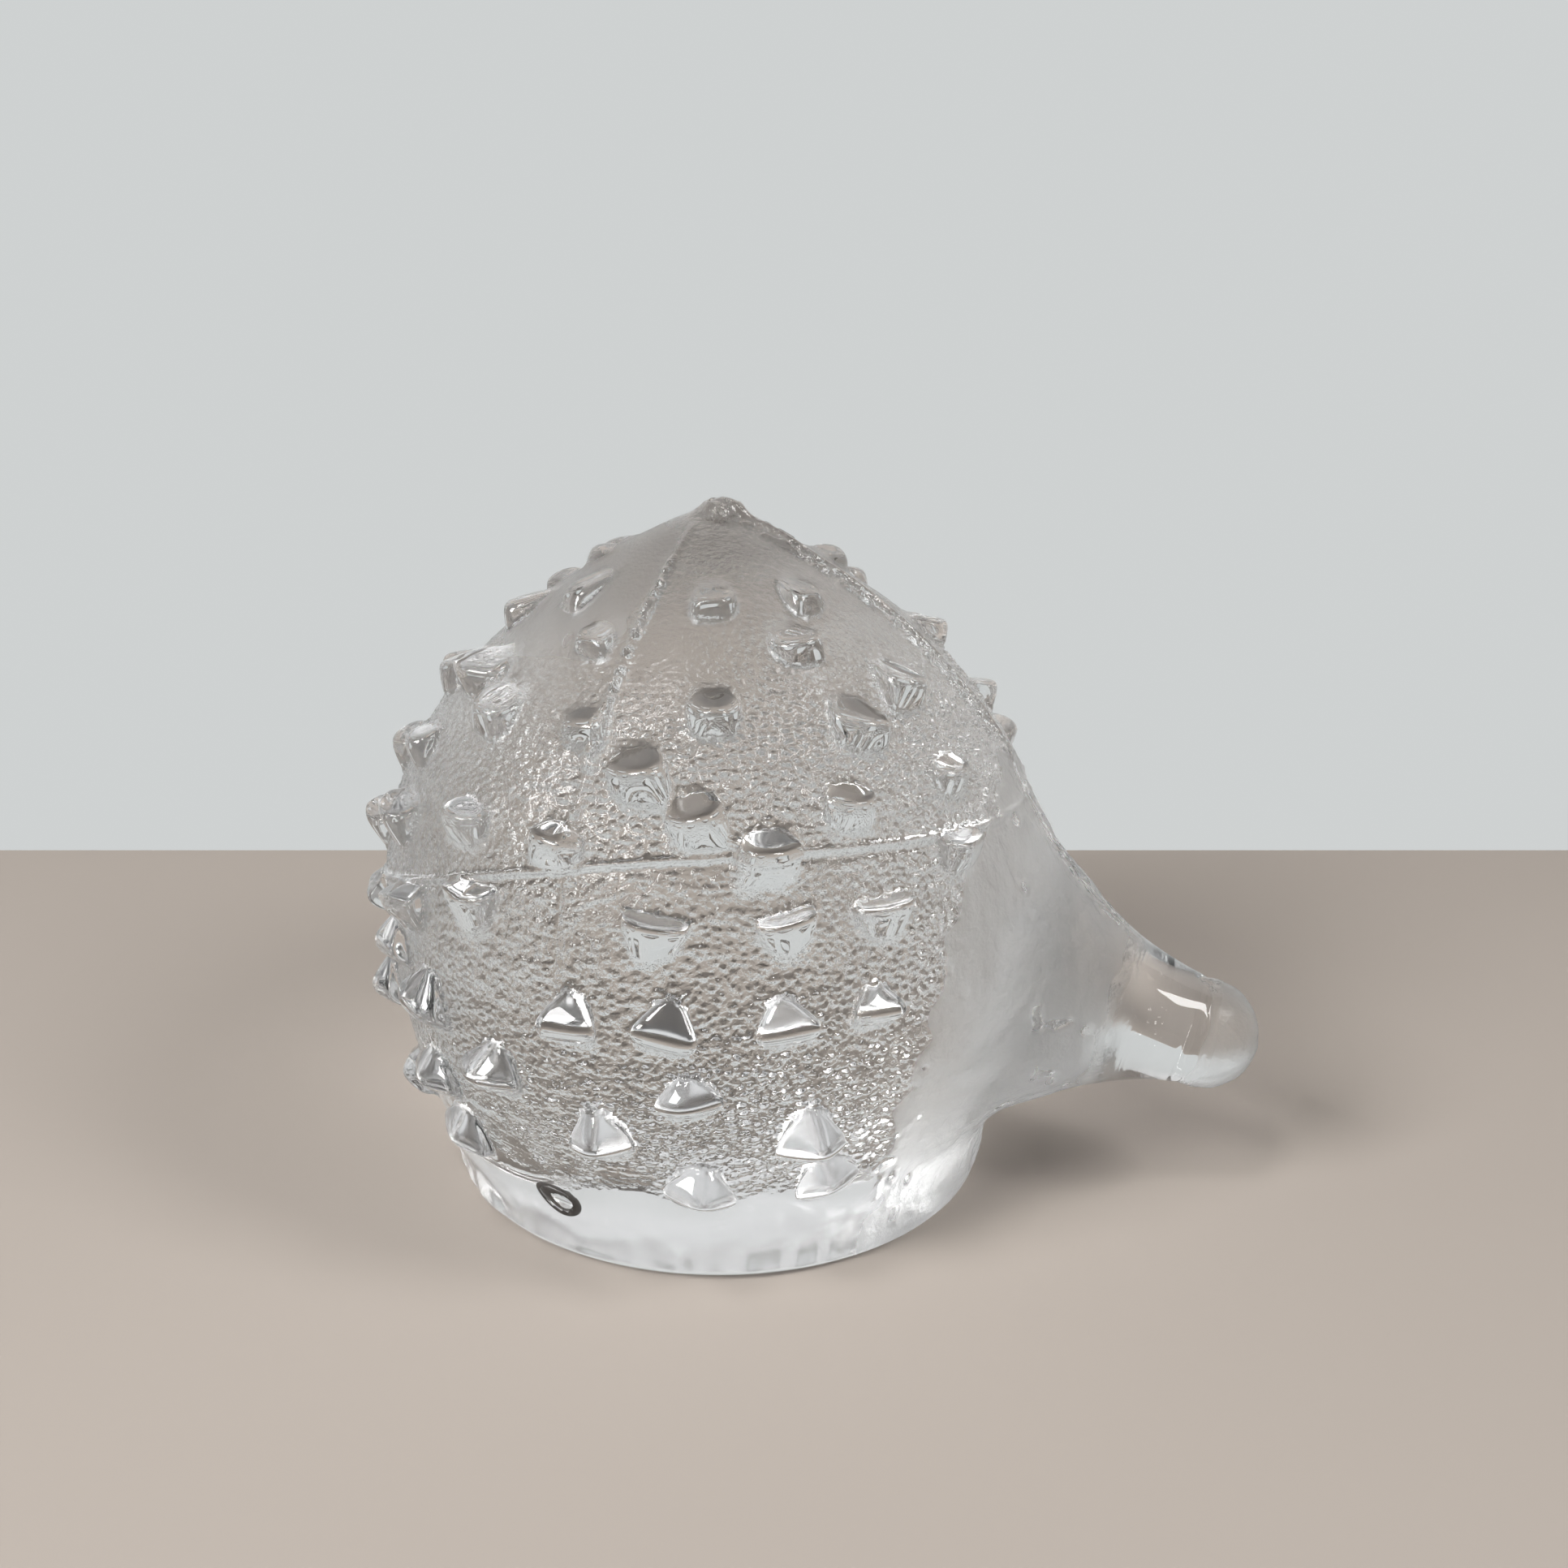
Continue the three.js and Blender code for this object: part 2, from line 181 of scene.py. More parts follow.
# By distance in front of the crown, by azimuth from the snout, and by distance off the bare body
FIN = Zone(0.8, 3.0)
REAR = Zone(SIDE_SEAM - 0.1, SIDE_SEAM + 0.2, 0.1)
ON_THORN = Zone(0.15, 0.8)

# Layers of smooth lumps in the surface: height, distance between lumps, squash along X, Y and Z, and a seed
Layer = namedtuple("Layer", "height pitch squash seed")
EVEN = (1.0, 1.0, 1.0)
RAGGED_EDGES = Layer(1.2, 2.6, EVEN, 4)
CREASES = Layer(0.1, 1.8, (1.0, 1.0, 1.7), 5)
PITS = Layer(1.0, 1.7, EVEN, 7)
BEADS = Layer(1.3, 0.9, EVEN, 8)
SWELLS = Layer(0.16, 6.5, EVEN, 9)
GRAIN_PATCHES = Layer(1.0, 15.0, EVEN, 11)
FLUTES = Layer(0.35, 2.6, (1.0, 1.0, 0.25), 12)
RIPPLES = Layer(0.09, 1.0, EVEN, 13)
PIT_PATCHES = Layer(1.0, 8.0, EVEN, 14)
FACE_WAVES = Layer(0.22, 3.2, (0.6, 1.0, 1.0), 15)

# Grain of the coat: pebbles that are coarser in patches, fade high up and behind, and stay off the seams
PEBBLE_HEIGHT = 0.42
PEBBLE_PITCH = 1.05
PEBBLE_SQUASH = (1.0, 1.0, 1.4)
PATCH_LIMITS = (-0.35, 0.35)
PATCH_LEAST_SHARE = 0.45
REAR_GRAIN_SHARE = 0.4
UPPER_GRAIN_LOSS = 0.9
SEAM_CALM_LIMITS = (0.05, 0.25)

# Face and nose: pits in patches, and a groove behind the nose
PIT_DEPTH = 0.36
PIT_LIMITS = (0.35, 0.65)
PIT_PATCH_LIMITS = (-0.1, 0.4)
NOSE_GROOVE_DEPTH = 0.16
NOSE_GROOVE_WIDTH = 0.45
NOSE_GROOVE_PLACE = -1.0

# Haze of the glass, as roughness. Pits and raised seams are polished.
COAT_HAZE = 0.06
UPPER_COAT_HAZE = 0.18
REAR_COAT_HAZE = 0.08
FACE_HAZE = 0.46
NOSE_HAZE = 0.36
UNDERSIDE_ROUGHNESS = 0.12
PIT_POLISH = 0.8
SEAM_POLISH = 0.9
SEAM_POLISH_LIMITS = (0.1, 0.3)

# Finest grain, as a bump of the glass: its share high on the coat and on the head, scale per metre and depth
FINE_GRAIN_UPPER_LOSS = 0.3
FINE_GRAIN_HEAD_SHARE = 0.5
FINE_GRAIN_SCALE = 2000.0
FINE_GRAIN_DETAIL = 2.0
FINE_GRAIN_DEPTH = 0.00015

# Clear glass
GLASS_COLOUR = (0.985, 0.99, 0.99, 1.0)
GLASS_IOR = 1.5

# A teardrop of air trapped low in the right flank, with a dark rim painted on as shade: its side-on faces
# carry a painted dark colour in place of the dark ring that refraction gives
BUBBLE_CENTRE = np.array([-10.0, -25.4, 7.6])
BUBBLE_AXIS = np.array([0.84, -0.02, -0.54])
BUBBLE_HALF_LENGTH = 2.7
BUBBLE_RADIUS = 1.9
BUBBLE_TAPER = 0.22
BUBBLE_OUTWARD = np.array([-0.1, -0.97, 0.22])
# Painted shade of the bubble's rim: the share of its radius within which faces count as side-on, its dark
# colour and its roughness
PAINTED_RIM_SHADE_SHARE = 0.66
PAINTED_RIM_SHADE_COLOUR = (0.02, 0.018, 0.016, 1.0)
PAINTED_RIM_SHADE_ROUGHNESS = 0.5

# Fineness of the first, rough mesh
BODY_SEGMENTS = 128
BODY_STEPS = 60
HEAD_SEGMENTS = 96
HEAD_STEPS = 24
NOSE_STEPS = 10
BUBBLE_SEGMENTS = 32
BUBBLE_STEPS = 25

# Fineness of the finished surface, which is pulled onto the form step by step
VOXEL = 0.25
PROJECTION_STEPS = 5
RELAXED_STEPS = 3
LARGEST_PULL = 0.6
LEAST_SQUARED_SLOPE = 0.25
SLOPE_STEP = 0.02

# Camera: the photograph's own viewpoint, close to the object
CAMERA_PLACE = (0.0427, -0.1632, 0.1074)
CAMERA_PITCH = 20.5
CAMERA_AZIMUTH = 12.0
CAMERA_CLIP_START = 0.01
SENSOR_WIDTH = 36.0
FOCAL_PIXELS = 2000.0
FRAME_PIXELS = 1932.0

# Stage: a plain pale table top, a hair below the glass, and a pale wall well behind it, with painted shade
# below the table and a painted brighter glow high up
TABLE_TOP = -0.0002
TABLE_BACK = 0.087
TABLE_FRONT = -0.6
TABLE_HALF_WIDTH = 1.0
TABLE_COLOUR = (0.5, 0.44, 0.39, 1.0)
TABLE_ROUGHNESS = 0.8
WALL_BACK = 0.6
WALL_HALF_WIDTH = 2.0
WALL_LOW = -0.8
WALL_HIGH = 2.0
WALL_COLOUR = (0.62, 0.64, 0.64, 1.0)
# Painted light on the wall's glow: a brighter painted glow high up, and a dark painted shade below the table
WALL_PAINTED_GLOW_COLOUR = (0.8, 0.81, 0.82, 1.0)
WALL_PAINTED_SHADE_COLOUR = (0.04, 0.035, 0.03, 1.0)
WALL_ROUGHNESS = 0.9
# Heights at which the wall's glow changes: out of the painted shade below the table, and up to the painted
# brighter glow at the top
WALL_SHADES = (
    (-0.32, WALL_PAINTED_SHADE_COLOUR),
    (-0.24, WALL_COLOUR),
    (0.22, WALL_COLOUR),
    (0.42, WALL_PAINTED_GLOW_COLOUR),
)
MOTTLE_SCALE = 14.0
MOTTLE_SHARE = 0.05

# Lamps: name, place, width and height, and power in watts
LAMPS = (
    ("key_lamp", (-0.33, -0.45, 0.46), (0.26, 0.26), 4.0),
    ("spark_lamp", (-0.12, -0.3, 0.65), (0.12, 0.12), 1.0),
    ("streak_lamp", (0.41, -0.1, 0.43), (0.13, 0.22), 1.2),
)
LAMP_AIM = (0.0, 0.0, 0.03)
ROOM_COLOUR = (0.08, 0.08, 0.08, 1.0)


def smoothstep(low, high, value):
    """0 at low, 1 at high, and a smooth change between them."""
    t = np.clip((value - low) / (high - low), 0.0, 1.0)
    return t * t * (3.0 - 2.0 * t)


def smooth_union(a, b, blend):
    """Distance to two joined forms, with a fillet of about the blend's size between them."""
    h = np.clip(0.5 + 0.5 * (b - a) / blend, 0.0, 1.0)
    return b + (a - b) * h - blend * h * (1.0 - h)


def smooth_maximum(a, b, blend):
    """The larger of two values, with a rounded change between them."""
    h = np.clip(0.5 + 0.5 * (a - b) / blend, 0.0, 1.0)
    return b + (a - b) * h + blend * h * (1.0 - h)


def jitter(index, kind):
    """A fixed scatter between -1 and 1 for the index-th thing of a kind."""
    return 2.0 * ((math.sin(index * 12.9898 + kind * 78.233) * 43758.5453) % 1.0) - 1.0


def skin_radius(height, foot_radius):
    """Radius of the body's skin at a height, for the foot's radius in that direction."""
    climb = np.clip((height - BELLY_HEIGHT) / (DOME_HEIGHT - BELLY_HEIGHT), 0.0, 1.0)
    above_foot = smooth_maximum(height - FOOT_HEIGHT, 0.0, FOOT_BLEND)
    fall = np.clip(1.0 - above_foot / (BELLY_HEIGHT - FOOT_HEIGHT), 0.0, 1.0)
    below = np.clip(FOOT_EDGE_RADIUS - height, 0.0, FOOT_EDGE_RADIUS)
    dome = BELLY_RADIUS * (1.0 - climb**DOME_POWER) ** DOME_FULLNESS_POWER
    belly = (BELLY_RADIUS - foot_radius) * fall**BELLY_POWER
    edge = FOOT_EDGE_RADIUS - np.sqrt(FOOT_EDGE_RADIUS**2 - below**2)
    return dome - belly - edge


def foot_radius_at(azimuth):
    """Radius of the oval foot in the direction of an azimuth."""
    return 1.0 / np.hypot(np.cos(azimuth) / FOOT_HALF_LENGTH, np.sin(azimuth) / FOOT_HALF_WIDTH)


def body_distance(p):
    """Distance outside the bare body, without thorns or head."""
    foot_radius = foot_radius_at(np.arctan2(p[:, 1], p[:, 0]))
    radius = skin_radius(p[:, 2], foot_radius)
    slope = (skin_radius(p[:, 2] + SLOPE_STEP, foot_radius) - radius) / SLOPE_STEP
    away = np.sqrt(p[:, 0] ** 2 + p[:, 1] ** 2 + APEX_ROUNDING**2)
    side = (away - radius) / np.sqrt(1.0 + slope**2)
    side = np.where(p[:, 2] > DOME_HEIGHT, np.hypot(side, p[:, 2] - DOME_HEIGHT), side)
    ball_centre = np.array([CROWN_SHIFT, 0.0, CROWN_TOP - CROWN_BALL_RADIUS])
    ball = np.linalg.norm(p - ball_centre, axis=1) - CROWN_BALL_RADIUS
    return smooth_union(side, ball, CROWN_BLEND)


def head_axis(p):
    """Place along the head's axis, from the middle of the nose, and distance from that axis."""
    dx = p[:, 0] - NOSE_REACH
    dz = p[:, 2] - NOSE_HEIGHT
    along = dx * math.cos(HEAD_DROOP) - dz * math.sin(HEAD_DROOP)
    rise = dx * math.sin(HEAD_DROOP) + dz * math.cos(HEAD_DROOP)
    return along, np.hypot(p[:, 1], rise)


def head_radius(left):
    """Radius of the head at a share of its length, from the nose back to the face."""
    eased = (left**2 + HEAD_FLARE_EASE**2) ** (HEAD_FLARE_POWER / 2.0) - HEAD_FLARE_EASE**HEAD_FLARE_POWER
    return NOSE_RADIUS + (FACE_RADIUS - NOSE_RADIUS) * eased


def head_distance(p):
    """Distance outside the flared head and its round nose."""
    along, away = head_axis(p)
    left = np.clip(-along / HEAD_LENGTH, 0.0, 1.0)
    radius = head_radius(left)
    slope = (head_radius(left + SLOPE_STEP) - radius) / (SLOPE_STEP * HEAD_LENGTH)
    cone = (away - radius) / np.sqrt(1.0 + slope**2)
    nose = np.hypot(along, away) - NOSE_RADIUS
    return np.maximum(np.where(along > 0.0, nose, cone), -HEAD_LENGTH - along)


def bare_distance(p):
    """Distance outside the smooth form: body and head, cut flat underneath."""
    return np.maximum(smooth_union(body_distance(p), head_distance(p), HEAD_BLEND), -p[:, 2])


def thorn_hull(index, azimuth, height):
    """One thorn as a closed hull, a little unlike its neighbours, and how sharp its edges are."""
    foot_radius = foot_radius_at(azimuth)

    def skin(level):
        return float(skin_radius(level, foot_radius))

    def kind(value):
        return float(np.interp(height / DOME_HEIGHT, THORN_KINDS["share"], THORN_KINDS[value]))

    fullness = min(1.0, skin(height) / THORN_FULL_RADIUS)
    size = THORN_LEAST_SHARE + (1.0 - THORN_LEAST_SHARE) * fullness
    size *= 1.0 + SIZE_SCATTER * jitter(index, 1)
    reach = size * kind("reach") * (1.0 + REACH_SCATTER * jitter(index, 2))
    twist = math.radians(TWIST_SCATTER) * jitter(index, 3)
    tilt = math.radians(kind("tilt") + TILT_SCATTER * jitter(index, 4))
    lean = LEAN_SCATTER * jitter(index, 5)
    rise = (reach + kind("root_sink")) * math.tan(tilt)
    root_level = height + rise / 2.0
    lip_level = height - rise / 2.0
    lip_foot = lip_level - size * THORN_LIP_DROP
    toe_level = lip_foot - size * kind("face_drop")
    middle = skin(height) + reach
    end = skin(height) + reach * kind("lip_end")
    outline = [
        (root_level, skin(root_level) - kind("root_sink"), kind("root_width"), 0.0),
        (lip_level, end, kind("lip_width"), 0.0),
        (lip_level, middle, kind("lip_middle"), lean),
        (lip_foot, end, kind("lip_width"), 0.0),
        (lip_foot, middle, kind("lip_middle"), lean),
        (toe_level, skin(toe_level) - THORN_TOE_SINK, kind("toe_width"), lean),
    ]
    hull = bmesh.new()
    for level, radius, width, shift in outline:
        for half in (-0.5, 0.5):
            across = half * size * width + shift
            up = level - height
            turned_up = height + up * math.cos(twist) + across * math.sin(twist)
            turned = across * math.cos(twist) - up * math.sin(twist)
            x = radius * math.cos(azimuth) - turned * math.sin(azimuth)
            y = radius * math.sin(azimuth) + turned * math.cos(azimuth)
            hull.verts.new((x, y, turned_up))
    bmesh.ops.convex_hull(hull, input=hull.verts)
    bmesh.ops.recalc_face_normals(hull, faces=hull.faces)
    return hull, kind("sharpness")


def all_thorns():
    """Every thorn's hull and sharpness, row by row, on both flanks."""
    hulls = []
    for share, azimuths in THORN_ROWS:
        for degrees in azimuths:
            for flank in (-1, 1):
                hulls.append(thorn_hull(len(hulls), math.radians(flank * degrees), share * DOME_HEIGHT))
    return hulls


def planes_of(hull, sharpness):
    """Outward normals and offsets of a hull's faces, each plane once, its middle and its sharpness."""
    planes = np.array([(*f.normal, f.normal.dot(f.verts[0].co)) for f in hull.faces])
    planes = planes[np.unique(np.round(planes, 2), axis=0, return_index=True)[1]]
    middle = np.mean([v.co for v in hull.verts], axis=0)
    return planes[:, :3], planes[:, 3], middle, sharpness


def with_neighbours(p, planes):
    """Each thorn's planes with the numbers of the points near it."""
    found = []
    for normals, offsets, middle, sharpness in planes:
        near = np.flatnonzero(np.abs(p - middle).max(axis=1) < THORN_NEAR)
        found.append((normals, offsets, sharpness, near))
    return found


def form_distance(p, thorns):
    """Distance outside the whole form: the bare body with its thorns grown out of it."""
    distance = bare_distance(p)
    for normals, offsets, sharpness, near in thorns:
        planes = p[near] @ normals.T - offsets
        top = planes.max(axis=1)
        spread = np.exp(sharpness * (planes - top[:, None])).sum(axis=1)
        thorn = top + np.log(spread) / sharpness
        distance[near] = smooth_union(distance[near], thorn, THORN_FILLET)
    return np.maximum(distance, -p[:, 2])


def distance_and_slope(p, thorns):
    """The whole form's distance at each point, and the direction in which it grows."""
    distance = form_distance(p, thorns)
    slopes = []
    for axis in range(3):
        shift = np.zeros(3)
        shift[axis] = SLOPE_STEP
        slopes.append((form_distance(p + shift, thorns) - distance) / SLOPE_STEP)
    return distance, np.stack(slopes, axis=1)


def lathe(bm, profile, place, segments):
    """Adds a closed turned form from (radius, along) points, each laid by place(radius, along, turn)."""
    rings = []
    for radius, along in profile:
        count = segments if radius > 1e-6 else 1
        turns = [2.0 * math.pi * k / segments for k in range(count)]
        rings.append([bm.verts.new(place(radius, along, t)) for t in turns])
    for a, b in zip(rings, rings[1:]):
        for k in range(segments):
            quad = [a[k % len(a)], a[(k + 1) % len(a)], b[(k + 1) % len(b)], b[k % len(b)]]
            corners = list(dict.fromkeys(quad))
            if len(corners) > 2:
                bm.faces.new(corners)


def lay_body(radius, along, turn):
    """A point of the body's turned form, drawn in to the oval foot."""
    reach = float(skin_radius(along, foot_radius_at(turn))) if radius > 0.0 else 0.0
    return (reach * math.cos(turn), reach * math.sin(turn), along)


def lay_head(radius, along, turn):
    """A point of the head's turned form, on the head's own axis."""
    rise = radius * math.sin(turn)
    x = NOSE_REACH + along * math.cos(HEAD_DROOP) + rise * math.sin(HEAD_DROOP)
    z = NOSE_HEIGHT - along * math.sin(HEAD_DROOP) + rise * math.cos(HEAD_DROOP)
    return (x, radius * math.cos(turn), z)


def rough_form(hulls):
    """A closed first mesh of the whole form, from overlapping turned forms and thorn hulls."""
    bm = bmesh.new()
    heights = [0.0, FOOT_EDGE_RADIUS / 2.0, FOOT_EDGE_RADIUS]
    heights += list(np.linspace(FOOT_HEIGHT, DOME_HEIGHT, BODY_STEPS))
    profile = [(0.0, 0.0)] + [(1.0, h) for h in heights[:-1]] + [(0.0, CROWN_TOP)]
    lathe(bm, profile, lay_body, BODY_SEGMENTS)
    cone = [(head_radius(s), -HEAD_LENGTH * s) for s in np.linspace(1.0, 0.0, HEAD_STEPS)]
    turns = np.linspace(0.0, math.pi / 2.0, NOSE_STEPS)[1:-1]
    nose = [(NOSE_RADIUS * math.cos(t), NOSE_RADIUS * math.sin(t)) for t in turns]
    outline = [(0.0, -HEAD_LENGTH)] + cone + nose + [(0.0, NOSE_RADIUS)]
    lathe(bm, outline, lay_head, HEAD_SEGMENTS)
    for hull, _ in hulls:
        added = bpy.data.meshes.new("thorn")
        hull.to_mesh(added)
        bm.from_mesh(added)
        bpy.data.meshes.remove(added)
    bmesh.ops.recalc_face_normals(bm, faces=bm.faces)
    mesh = bpy.data.meshes.new("rough_form")
    bm.to_mesh(mesh)
    bm.free()
    return mesh


def fused(mesh):
    """The mesh with its overlapping forms fused into one even surface."""
    carrier = bpy.data.objects.new("carrier", mesh)
    bpy.context.scene.collection.objects.link(carrier)
    fuse = carrier.modifiers.new("fuse", "REMESH")
    fuse.mode = "VOXEL"
    fuse.voxel_size = VOXEL
    result = bpy.data.meshes.new_from_object(carrier.evaluated_get(bpy.context.evaluated_depsgraph_get()))
    bpy.data.objects.remove(carrier)
    bpy.data.meshes.remove(mesh)
    result.name = "hedgehog_glass"
    return result


def relax(p, edges, count):
    """Moves each point half of the way to the mean of its neighbours."""
    moved = np.empty_like(p)
    for axis in range(3):
        values = p[:, axis]
        total = np.bincount(edges[:, 0], values[edges[:, 1]], len(p))
        total += np.bincount(edges[:, 1], values[edges[:, 0]], len(p))
        moved[:, axis] = 0.5 * (values + total / count)
    return moved


def pulled_onto_form(p, edges, planes):
    """The points pulled onto the whole form, and the form's outward direction at each."""
    count = np.bincount(edges.ravel(), minlength=len(p))
    thorns = with_neighbours(p, planes)
    for step in range(PROJECTION_STEPS):
        if step < RELAXED_STEPS:
            p = relax(p, edges, count)
        distance, slope = distance_and_slope(p, thorns)
        pull = distance / np.maximum((slope**2).sum(axis=1), LEAST_SQUARED_SLOPE)
        p = p - slope * np.clip(pull, -LARGEST_PULL, LARGEST_PULL)[:, None]
    slope = distance_and_slope(p, thorns)[1]
    return p, slope / np.linalg.norm(slope, axis=1, keepdims=True)


def hashed(cells, seed):
    """Fixed scatter between 0 and 1 for whole-number cells."""
    mixed = np.sin(cells @ np.array([127.1, 311.7, 74.7]) + 19.19 * seed) * 43758.5453
    return mixed - np.floor(mixed)


def pebbles(p, pitch):
    """Pebbled grain: 1 in the middle of each pebble, 0 in the furrows between pebbles."""
    q = p / pitch
    base = np.floor(q)
    nearest = np.full(len(p), 9.0)
    second = np.full(len(p), 9.0)
    for i in (-1, 0, 1):
        for j in (-1, 0, 1):
            for k in (-1, 0, 1):
                cell = base + np.array([i, j, k])
                point = cell + np.stack([hashed(cell, n) for n in (1, 2, 3)], axis=1)
                gap = np.linalg.norm(q - point, axis=1)
                second = np.minimum(second, np.maximum(nearest, gap))
                nearest = np.minimum(nearest, gap)
    return smoothstep(0.0, 0.5, second - nearest)


def lumps(p, layer):
    """A layer of smooth lumps, up to its height above and below the surface."""
    q = p * np.array(layer.squash) / layer.pitch
    base = np.floor(q)
    t = q - base
    t = t * t * (3.0 - 2.0 * t)
    value = np.zeros(len(p))
    for i in (0, 1):
        for j in (0, 1):
            for k in (0, 1):
                weight = np.ones(len(p))
                for axis, side in enumerate((i, j, k)):
                    weight = weight * (t[:, axis] if side else 1.0 - t[:, axis])
                value += weight * hashed(base + np.array([i, j, k]), layer.seed)
    return layer.height * (2.0 * value - 1.0)


def ridge(offset, width):
    """A rounded ridge across an offset from its line."""
    return np.exp(-((offset / width) ** 2))


def share_of(zone, value, ragged=0.0):
    """0 where a zone starts and 1 where it is full."""
    return smoothstep(zone.start, zone.full, value + zone.raggedness * ragged)


def rising_from(least, share):
    """Goes from the least value to 1 as a share goes from 0 to 1."""
    return least + (1.0 - least) * share


def seam_height(p):
    """Height of the mould's seam ridges above the skin."""
    up = p[:, 2]
    azimuth = np.arctan2(p[:, 1], p[:, 0])
    away = np.hypot(p[:, 0], p[:, 1])
    below_crown = 1.0 - share_of(CROWN, up)
    bead = np.clip(BEAD_MEAN + lumps(p, BEADS), BEAD_LEAST, 1.0) * below_crown
    on_crest = share_of(BEHIND_NOSE, head_axis(p)[0]) * share_of(CREST_HEIGHTS, up)
    fin = FIN_HEIGHT * ridge(p[:, 1], SEAM_WIDTH) * share_of(FIN, p[:, 0])
    band = CREST_BEAD_HEIGHT * bead * ridge(np.abs(p[:, 1]) - CREST_BEAD_OFFSET, CREST_BEAD_WIDTH)
    height = (fin + band) * (np.abs(azimuth) < CREST_HALF_ANGLE) * on_crest
    for side in (-SIDE_SEAM, SIDE_SEAM):
        line = ridge(away * np.sin(azimuth - side), SEAM_WIDTH) * (np.cos(azimuth - side) > 0.0)
        beaded = bead * share_of(SIDE_BEADS, up) * (1.0 - share_of(ABOVE_SIDE_BEADS, up))
        raised = SIDE_BEAD_HEIGHT * beaded + SIDE_LINE_HEIGHT * share_of(SIDE_LINE, up)
        height += line * below_crown * raised
    arch = np.sqrt(np.maximum(ARCH_CURVE_RADIUS**2 - (p[:, 0] - ARCH_CREST_X) ** 2, 1.0))
    above = up - (ARCH_HEIGHT - ARCH_CURVE_RADIUS + arch)
    height += ARCH_RIDGE_HEIGHT * ridge(above, ARCH_RIDGE_WIDTH)
    return height - ARCH_GROOVE_DEPTH * ridge(above + ARCH_GROOVE_DROP, ARCH_GROOVE_WIDTH)


def surface_shares(p):
    """How far each point belongs to each kind of surface."""
    up = p[:, 2]
    along, _ = head_axis(p)
    azimuth = np.abs(np.arctan2(p[:, 1], p[:, 0]))
    ragged = lumps(p, RAGGED_EDGES)
    share = SimpleNamespace()
    share.bare = 1.0 - share_of(ON_THORN, bare_distance(p))
    share.head = share_of(HEAD, along, ragged)
    share.coat = share.bare * (1.0 - share.head) * share_of(ABOVE_FOOT, up, ragged)
    share.upper = share_of(UPPER_COAT, up, ragged)
    share.rear = share_of(REAR, azimuth, ragged)
    share.crown = share_of(CROWN, up)
    share.face = share.head * share_of(FACE, along, ragged)
    share.nose = share_of(NOSE, along, ragged)
    share.groove = share.head * ridge(along - NOSE_GROOVE_PLACE + ragged, NOSE_GROOVE_WIDTH)
    pit_patches = smoothstep(*PIT_PATCH_LIMITS, lumps(p, PIT_PATCHES))
    share.pits = share.face * pit_patches * smoothstep(*PIT_LIMITS, lumps(p, PITS))
    share.flutes = (1.0 - share.head) * (1.0 - share_of(ABOVE_FLUTES, up))
    share.underside = 1.0 - share_of(ABOVE_UNDERSIDE, up)
    return share


def coat_grain(p, share, seams):
    """Height of the coat's pebbles and creases."""
    patches = smoothstep(*PATCH_LIMITS, lumps(p, GRAIN_PATCHES))
    coarse = rising_from(PATCH_LEAST_SHARE, patches) * rising_from(REAR_GRAIN_SHARE, 1.0 - share.rear)
    grain = PEBBLE_HEIGHT * (pebbles(p * np.array(PEBBLE_SQUASH), PEBBLE_PITCH) - 0.5) * coarse
    grain += lumps(p, CREASES)
    calm = 1.0 - smoothstep(*SEAM_CALM_LIMITS, np.abs(seams))
    return share.coat * grain * calm * (1.0 - UPPER_GRAIN_LOSS * share.upper) * (1.0 - share.crown)


def surface_detail(p):
    """Height to add along the surface, its roughness, and how strong its finest grain is."""
    share = surface_shares(p)
    seams = seam_height(p) * rising_from(SEAM_SHARE_ON_THORNS, share.bare)
    seams *= rising_from(SEAM_SHARE_ON_HEAD, 1.0 - share.head)
    height = coat_grain(p, share, seams) + seams
    height -= PIT_DEPTH * share.pits
    height -= NOSE_GROOVE_DEPTH * share.groove
    height += lumps(p, FACE_WAVES) * share.face
    height += lumps(p, RIPPLES) * np.clip(share.face + share.nose, 0.0, 1.0)
    height += lumps(p, SWELLS) * share.bare
    height += lumps(p, FLUTES) * share.flutes
    height *= share_of(ABOVE_FOOT_EDGE, p[:, 2])
    haze = share.coat * (COAT_HAZE + UPPER_COAT_HAZE * share.upper + REAR_COAT_HAZE * share.rear)
    haze += FACE_HAZE * share.face * (1.0 - PIT_POLISH * share.pits) + NOSE_HAZE * share.nose
    haze *= (1.0 - SEAM_POLISH * smoothstep(*SEAM_POLISH_LIMITS, seams)) * (1.0 - share.crown)
    roughness = np.clip(haze + UNDERSIDE_ROUGHNESS * share.underside, 0.0, 1.0)
    fine = share.coat * (1.0 - FINE_GRAIN_UPPER_LOSS * share.upper)
    fine += FINE_GRAIN_HEAD_SHARE * (share.face + share.nose)
    return height, roughness, np.clip(fine, 0.0, 1.0)


